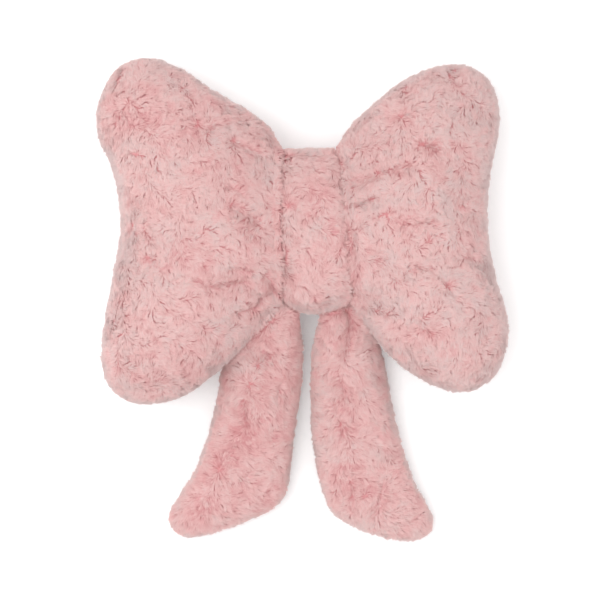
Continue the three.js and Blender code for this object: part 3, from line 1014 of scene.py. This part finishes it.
def softly_shaded(mesh):
    """Shade the blades by a mix of their own normals and the skin's, which faces up in the creases."""
    skin = recall(mesh, "skin", 3)
    skin += np.array((0, 0, CREASE_LIFT)) * recall(mesh, "crease")[:, None]
    skin /= np.linalg.norm(skin, axis=1)[:, None]
    soft = normals(mesh) * OWN_NORMAL + skin * SKIN_NORMAL
    soft /= np.linalg.norm(soft, axis=1)[:, None]
    mesh.shade_smooth()
    mesh.normals_split_custom_set_from_vertices(soft)


def mapped_on_palette(mesh):
    """The palette map: the blade's tone from left to right, and from root to tip upwards."""
    # Tones above the highest are kept only for the painted rim shade
    highest = HIGHEST_TONE + HIGHEST_TONE_GAIN_AT_EDGE * recall(mesh, "greyed")
    tone = np.clip(recall(mesh, "tone"), 0, highest)
    store(mesh, "tone", tone)
    corner = np.empty(len(mesh.loops), np.int32)
    mesh.loops.foreach_get("vertex_index", corner)
    aside = BLADE_ON_PALETTE * recall(mesh, "aside")[corner]
    across = PALETTE_MARGIN + PALETTE_SPAN * tone[corner] + aside
    up = PALETTE_MARGIN + PALETTE_SPAN * recall(mesh, "along")[corner]
    layer = mesh.uv_layers.new(name="OFBake")
    layer.data.foreach_set("uv", np.stack([across, up], 1).ravel())


def input_named(tree, name):
    return next(s.identifier for s in tree.interface.items_tree if s.name == name and s.in_out == "INPUT")


def pile_coat(cloth, node, coat, tree, material, seed):
    """One coat of a piece's pile as a plain mesh."""
    sizes = COATS[coat]
    piece = in_scene(f"{node}_{coat}", cloth.data)
    modifier = piece.modifiers.new("pile", "NODES")
    modifier.node_group = tree
    wanted = {
        "Blades per m2": sizes["density"],
        "Blade length": sizes["length"],
        "Blade width": sizes["width"],
        "Lock spacing": LOCK_SPACING,
        "Lock pull": sizes["pull"],
        "Side": sizes["side"],
        "Ruffle": FILLED[node]["ruffle"],
        "Greyness": FILLED[node]["grey_and_shade"],
        "Seed": seed,
        "Pile material": material,
    }
    for name, value in wanted.items():
        modifier[input_named(tree, name)] = value
    made_plain(piece)
    laid_on_floor(piece.data)
    softly_shaded(piece.data)
    mapped_on_palette(piece.data)
    for name in BLADE_NOTES + CLOTH_NOTES:
        if name in piece.data.attributes:
            piece.data.attributes.remove(piece.data.attributes[name])
    return piece


# Materials

def new_material(name):
    """A material with a recipe for its nodes, and its shader."""
    material = bpy.data.materials.new(name)
    material.use_nodes = True
    return material, Recipe(material.node_tree), material.node_tree.nodes["Principled BSDF"]


def ramp(recipe, share, stops):
    node = recipe.add("ShaderNodeValToRGB", (), {"Fac": share})
    elements = node.color_ramp.elements
    while len(elements) < len(stops):
        elements.new(0.5)
    for element, (place, colour) in zip(elements, stops):
        element.position = place
        element.color = (*colour, 1.0)
    return recipe.out(node, "Color")


def pile_material():
    """Plush pile: deep pink at the root, pale at the tip, and greyer and darker where its tone is high, as
    painted rim shade.
    """
    material, r, shader = new_material("plush_pile")
    along = r.out(r.add("ShaderNodeAttribute", {"attribute_name": "along"}), "Fac")
    tone = r.out(r.add("ShaderNodeAttribute", {"attribute_name": "tone"}), "Fac")
    colour = r.add("ShaderNodeMix", {"data_type": "RGBA"}, {
        "Factor": r.maths("POWER", along, PALE_EARLY),
        "A": ramp(r, tone, ROOT_PINKS),
        "B": ramp(r, tone, TIP_PINKS),
    })
    r.feed(shader, {
        "Base Color": r.out(colour, "Result"),
        "Roughness": r.less_part(ROOT_ROUGHNESS, along, TIP_SMOOTHER),
        "Specular IOR Level": PILE_SPECULAR,
        "Sheen Weight": PILE_SHEEN,
        "Sheen Roughness": PILE_SHEEN_ROUGHNESS,
    })
    return material


def backing_material():
    """Knitted backing seen between the roots: deep pink and finely uneven."""
    material, r, shader = new_material("plush_backing")
    place = r.out(r.add("ShaderNodeTexCoord"), "Object")
    knit = r.noise(place, KNIT_SIZE, detail=KNIT_DETAIL)
    bump = r.add("ShaderNodeBump", (), {"Strength": KNIT_STRENGTH, "Distance": KNIT_DEPTH, "Height": knit})
    r.feed(shader, {
        "Base Color": ramp(r, knit, BACKING_PINKS),
        "Normal": r.out(bump, "Normal"),
        "Roughness": BACKING_ROUGHNESS,
    })
    return material


def floor_material():
    material, r, shader = new_material("floor")
    r.feed(shader, {
        "Base Color": FLOOR_WHITE,
        "Roughness": FLOOR_ROUGHNESS,
        "Emission Color": WHITE,
        "Emission Strength": FLOOR_GLOW,
    })
    return material


# The studio

def pale_floor():
    half = FLOOR_HALF
    corners = [(-half, -half, 0), (half, -half, 0), (half, half, 0), (-half, half, 0)]
    mesh = bpy.data.meshes.new("floor")
    mesh.from_pydata(corners, [], [(0, 1, 2, 3)])
    mesh.materials.append(floor_material())
    floor = in_scene("floor", mesh)


def white_surround():
    world = bpy.data.worlds.new("studio")
    bpy.context.scene.world = world
    world.use_nodes = True
    background = world.node_tree.nodes["Background"]
    background.inputs["Color"].default_value = WHITE
    background.inputs["Strength"].default_value = SURROUND_STRENGTH


def soft_lamp():
    """One wide lamp high on the left, aimed at the middle of the bow."""
    light = bpy.data.lights.new("key", "AREA")
    light.size = LAMP_SIZE
    light.energy = LAMP_POWER
    lamp = in_scene("key", light)
    lamp.location = LAMP_PLACE
    lamp.rotation_mode = "QUATERNION"
    lamp.rotation_quaternion = (-Vector(LAMP_PLACE)).to_track_quat("-Z", "Y")


def camera_above():
    """The camera straight above with the bow upright, its view as wide as the photo at the seams."""
    data = bpy.data.cameras.new("camera")
    data.sensor_width = SENSOR_WIDTH
    data.lens = SENSOR_WIDTH * (EYE_PLACE[2] - SEAM_HEIGHT) / VIEW_WIDTH
    camera = in_scene("camera", data)
    camera.location = EYE_PLACE
    bpy.context.scene.camera = camera


# The studio and the bow

bpy.context.scene.view_settings.view_transform = "Standard"
pale_floor()
white_surround()
soft_lamp()
camera_above()
cloths = {node: cloth_from_solid(node) for node in FILLED}
fill_with_air(cloths)
blade = blade_template()
tree = pile_tree(blade)
pile = pile_material()
backing = backing_material()
coat_seeds = count(SEEDS["first coat"])
for node, cloth in cloths.items():
    smoothed_cloth(cloth)
    comb_the_cloth(node, cloth)
    cloth.data.materials.clear()
    cloth.data.materials.append(backing)
    for coat in COATS:
        piece = pile_coat(cloth, node, coat, tree, pile, next(coat_seeds))
        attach(piece, "root")
    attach(cloth, "root")
    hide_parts(node)
bpy.data.objects.remove(blade)
for cloth in cloths.values():
    thinner = cloth.modifiers.new("thinner", "DECIMATE")
    thinner.ratio = CLOTH_KEPT
    made_plain(cloth)
